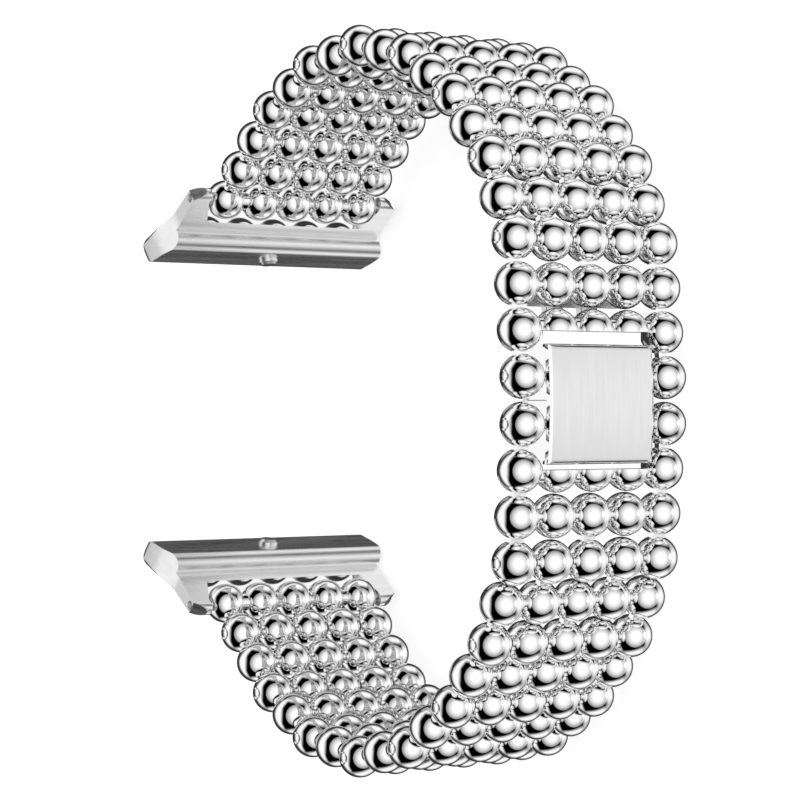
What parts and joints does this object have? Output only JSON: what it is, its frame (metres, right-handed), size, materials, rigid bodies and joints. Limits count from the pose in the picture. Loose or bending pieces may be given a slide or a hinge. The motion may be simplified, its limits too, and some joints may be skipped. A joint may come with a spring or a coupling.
{
  "type": "watch bracelet",
  "caption": "Watch bracelet of polished steel beads on hinge pins, with a folding clasp under a satin plate and an adapter at each end that slides into the watch case.",
  "frame": {"origin": "middle of the bounding box's lower face; the closed bracelet lies on its side, so every hinge pin stands upright", "axes": "+X from the watch to the clasp and out through the cover plate; +Y to the 12 o'clock half; +Z along the hinge pins, to the crown side"},
  "size_m": [0.0672, 0.0806, 0.0296],
  "materials": {
    "polished_beads": "mirror-polished stainless steel",
    "pin_steel": "drawn steel wire, ends cut and lightly rounded",
    "satin_plate": "fine satin brushed along the band, with polished bevels",
    "polished_clasp": "polished steel",
    "clasp_steel": "satin stamped steel",
    "adapter_steel": "satin sides and wrist face, polished outer rail",
    "spring_steel": "bare spring wire and strip"
  },
  "bodies": {
    "clasp": {"clasp_base": "clasp_steel", "clasp_anchor_block": "polished_clasp", "clasp_base_rivets": "clasp_steel", "clasp_catch_spring": "spring_steel", "clasp_hinge_pin": "pin_steel"},
    "fold_arm": {"clasp_fold_arm": "clasp_steel", "clasp_arm_block": "polished_clasp", "clasp_arm_rivets": "clasp_steel", "clasp_cover_plate": "satin_plate"},
    "upper_end": {"upper_end_section": "polished_beads", "upper_end_pin": "pin_steel", "upper_hinge_pin_1": "pin_steel"},
    "upper_link_1": {"upper_link_1": "polished_beads", "upper_hinge_pin_2": "pin_steel"},
    "upper_link_2": {"upper_link_2": "polished_beads", "upper_hinge_pin_3": "pin_steel"},
    "upper_link_3": {"upper_link_3": "polished_beads", "upper_hinge_pin_4": "pin_steel"},
    "upper_link_4": {"upper_link_4": "polished_beads", "upper_hinge_pin_5": "pin_steel"},
    "upper_link_5": {"upper_link_5": "polished_beads", "upper_hinge_pin_6": "pin_steel"},
    "upper_link_6": {"upper_link_6": "polished_beads", "upper_hinge_pin_7": "pin_steel"},
    "upper_link_7": {"upper_link_7": "polished_beads", "upper_hinge_pin_8": "pin_steel"},
    "upper_end_link": {"upper_end_link": "polished_beads"},
    "upper_adapter": {"upper_adapter": "adapter_steel", "upper_spring_bar_tube": "pin_steel", "upper_spring_bar_tips": "pin_steel", "upper_spring_bar_coil": "spring_steel", "upper_lock_spring": "spring_steel"},
    "upper_lock_button": {"upper_lock_button": "adapter_steel"},
    "lower_end": {"lower_end_section": "polished_beads", "lower_end_pin": "pin_steel", "lower_hinge_pin_1": "pin_steel"},
    "lower_link_1": {"lower_link_1": "polished_beads", "lower_hinge_pin_2": "pin_steel"},
    "lower_link_2": {"lower_link_2": "polished_beads", "lower_hinge_pin_3": "pin_steel"},
    "lower_link_3": {"lower_link_3": "polished_beads", "lower_hinge_pin_4": "pin_steel"},
    "lower_link_4": {"lower_link_4": "polished_beads", "lower_hinge_pin_5": "pin_steel"},
    "lower_link_5": {"lower_link_5": "polished_beads", "lower_hinge_pin_6": "pin_steel"},
    "lower_link_6": {"lower_link_6": "polished_beads", "lower_hinge_pin_7": "pin_steel"},
    "lower_link_7": {"lower_link_7": "polished_beads", "lower_hinge_pin_8": "pin_steel"},
    "lower_end_link": {"lower_end_link": "polished_beads"},
    "lower_adapter": {"lower_adapter": "adapter_steel", "lower_spring_bar_tube": "pin_steel", "lower_spring_bar_tips": "pin_steel", "lower_spring_bar_coil": "spring_steel", "lower_lock_spring": "spring_steel"},
    "lower_lock_button": {"lower_lock_button": "adapter_steel"}
  },
  "joints": [
    {"name": "fold", "type": "hinge", "parent": "clasp", "child": "fold_arm", "pos_m": [0.02724, 0.0116, 0.0148], "axis": [0, 0, 1], "range_deg": [0, 135]},
    {"name": "upper_end_pivot", "type": "hinge", "parent": "fold_arm", "child": "upper_end", "pos_m": [0.03137, 0.00237, 0.0148], "axis": [0, 0, 1], "range_deg": [-135, 0]},
    {"name": "upper_hinge_1", "type": "hinge", "parent": "upper_end", "child": "upper_link_1", "pos_m": [0.03005, 0.01611, 0.0148], "axis": [0, 0, 1], "range_deg": [-35, 10]},
    {"name": "upper_hinge_2", "type": "hinge", "parent": "upper_link_1", "child": "upper_link_2", "pos_m": [0.02609, 0.02441, 0.0148], "axis": [0, 0, 1], "range_deg": [-32, 13]},
    {"name": "upper_hinge_3", "type": "hinge", "parent": "upper_link_2", "child": "upper_link_3", "pos_m": [0.01987, 0.03119, 0.0148], "axis": [0, 0, 1], "range_deg": [-30, 15]},
    {"name": "upper_hinge_4", "type": "hinge", "parent": "upper_link_3", "child": "upper_link_4", "pos_m": [0.01211, 0.03614, 0.0148], "axis": [0, 0, 1], "range_deg": [-35.5, 9.5]},
    {"name": "upper_hinge_5", "type": "hinge", "parent": "upper_link_4", "child": "upper_link_5", "pos_m": [0.00312, 0.03805, 0.0148], "axis": [0, 0, 1], "range_deg": [-34.5, 10.5]},
    {"name": "upper_hinge_6", "type": "hinge", "parent": "upper_link_5", "child": "upper_link_6", "pos_m": [-0.00601, 0.03685, 0.0148], "axis": [0, 0, 1], "range_deg": [-34.5, 10.5]},
    {"name": "upper_hinge_7", "type": "hinge", "parent": "upper_link_6", "child": "upper_link_7", "pos_m": [-0.0142, 0.03267, 0.0148], "axis": [0, 0, 1], "range_deg": [-30.5, 14.5]},
    {"name": "upper_hinge_8", "type": "hinge", "parent": "upper_link_7", "child": "upper_end_link", "pos_m": [-0.02099, 0.02646, 0.0148], "axis": [0, 0, 1], "range_deg": [-16, 29]},
    {"name": "upper_adapter_pivot", "type": "hinge", "parent": "upper_end_link", "child": "upper_adapter", "pos_m": [-0.02432, 0.02329, 0.0148], "axis": [0, 0, 1], "range_deg": [-60, 60]},
    {"name": "lower_end_pivot", "type": "hinge", "parent": "clasp", "child": "lower_end", "pos_m": [0.03137, -0.00237, 0.0148], "axis": [0, 0, 1], "range_deg": [0, 110]},
    {"name": "lower_hinge_1", "type": "hinge", "parent": "lower_end", "child": "lower_link_1", "pos_m": [0.03005, -0.01611, 0.0148], "axis": [0, 0, -1], "range_deg": [-35, 10]},
    {"name": "lower_hinge_2", "type": "hinge", "parent": "lower_link_1", "child": "lower_link_2", "pos_m": [0.02609, -0.02441, 0.0148], "axis": [0, 0, -1], "range_deg": [-32, 13]},
    {"name": "lower_hinge_3", "type": "hinge", "parent": "lower_link_2", "child": "lower_link_3", "pos_m": [0.01987, -0.03119, 0.0148], "axis": [0, 0, -1], "range_deg": [-30, 15]},
    {"name": "lower_hinge_4", "type": "hinge", "parent": "lower_link_3", "child": "lower_link_4", "pos_m": [0.01211, -0.03614, 0.0148], "axis": [0, 0, -1], "range_deg": [-35.5, 9.5]},
    {"name": "lower_hinge_5", "type": "hinge", "parent": "lower_link_4", "child": "lower_link_5", "pos_m": [0.00312, -0.03805, 0.0148], "axis": [0, 0, -1], "range_deg": [-34.5, 10.5]},
    {"name": "lower_hinge_6", "type": "hinge", "parent": "lower_link_5", "child": "lower_link_6", "pos_m": [-0.00601, -0.03685, 0.0148], "axis": [0, 0, -1], "range_deg": [-34.5, 10.5]},
    {"name": "lower_hinge_7", "type": "hinge", "parent": "lower_link_6", "child": "lower_link_7", "pos_m": [-0.0142, -0.03267, 0.0148], "axis": [0, 0, -1], "range_deg": [-30.5, 14.5]},
    {"name": "lower_hinge_8", "type": "hinge", "parent": "lower_link_7", "child": "lower_end_link", "pos_m": [-0.02099, -0.02646, 0.0148], "axis": [0, 0, -1], "range_deg": [-16, 29]},
    {"name": "lower_adapter_pivot", "type": "hinge", "parent": "lower_end_link", "child": "lower_adapter", "pos_m": [-0.02432, -0.02329, 0.0148], "axis": [0, 0, -1], "range_deg": [-60, 60]},
    {"name": "upper_lock_slide", "type": "slide", "parent": "upper_adapter", "child": "upper_lock_button", "axis": [-0.1724, 0.985, 0], "range_m": [0, 0.0005], "stiffness_N_per_m": 600, "springref_m": -0.001, "deforming": ["upper_lock_spring"]},
    {"name": "lower_lock_slide", "type": "slide", "parent": "lower_adapter", "child": "lower_lock_button", "axis": [-0.1724, -0.985, 0], "range_m": [0, 0.0005], "stiffness_N_per_m": 600, "springref_m": -0.001, "deforming": ["lower_lock_spring"]}
  ],
  "couplings": [
    {"joint": "upper_end_pivot", "follows": "fold", "ratio": -1}
  ]
}
